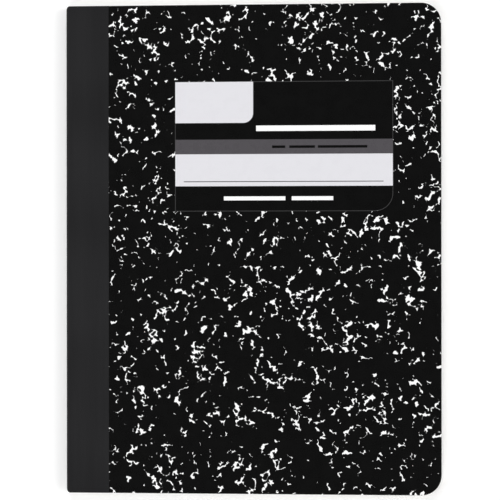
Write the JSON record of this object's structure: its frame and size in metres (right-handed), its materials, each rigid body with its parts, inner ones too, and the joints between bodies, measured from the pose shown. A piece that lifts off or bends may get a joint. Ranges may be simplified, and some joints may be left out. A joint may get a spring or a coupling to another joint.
{
  "type": "composition notebook",
  "caption": "Sewn composition notebook with stiff marbled covers that open, a cloth tape round its spine and rounded fore corners.",
  "frame": {"origin": "under the middle of the closed book, on the surface it lies on", "axes": "+X from the spine to the fore edge, +Y from the tail to the head, +Z from the back cover up to the front cover"},
  "size_m": [0.1906, 0.2476, 0.0103],
  "materials": {
    "pages": "uncoated writing paper, trimmed edges",
    "cover_board": "pressboard printed with black and white marbling, satin",
    "spine_tape": "matte black binding cloth",
    "thread": "white sewing thread"
  },
  "bodies": {
    "book_block": {"page_block": "pages", "cover_spine": "cover_board", "spine_tape_middle": "spine_tape", "needle_thread": "thread", "bobbin_thread": "thread"},
    "front_board": {"front_cover": "cover_board", "spine_tape_front": "spine_tape"},
    "back_board": {"back_cover": "cover_board", "spine_tape_back": "spine_tape"}
  },
  "joints": [
    {"name": "front_cover_hinge", "type": "hinge", "parent": "book_block", "child": "front_board", "pos_m": [-0.09455, 0, 0.0096], "axis": [0, -1, 0], "range_deg": [0, 179.9]},
    {"name": "back_cover_hinge", "type": "hinge", "parent": "book_block", "child": "back_board", "pos_m": [-0.09455, 0, 0.0007], "axis": [0, 1, 0], "range_deg": [0, 179.9]}
  ]
}
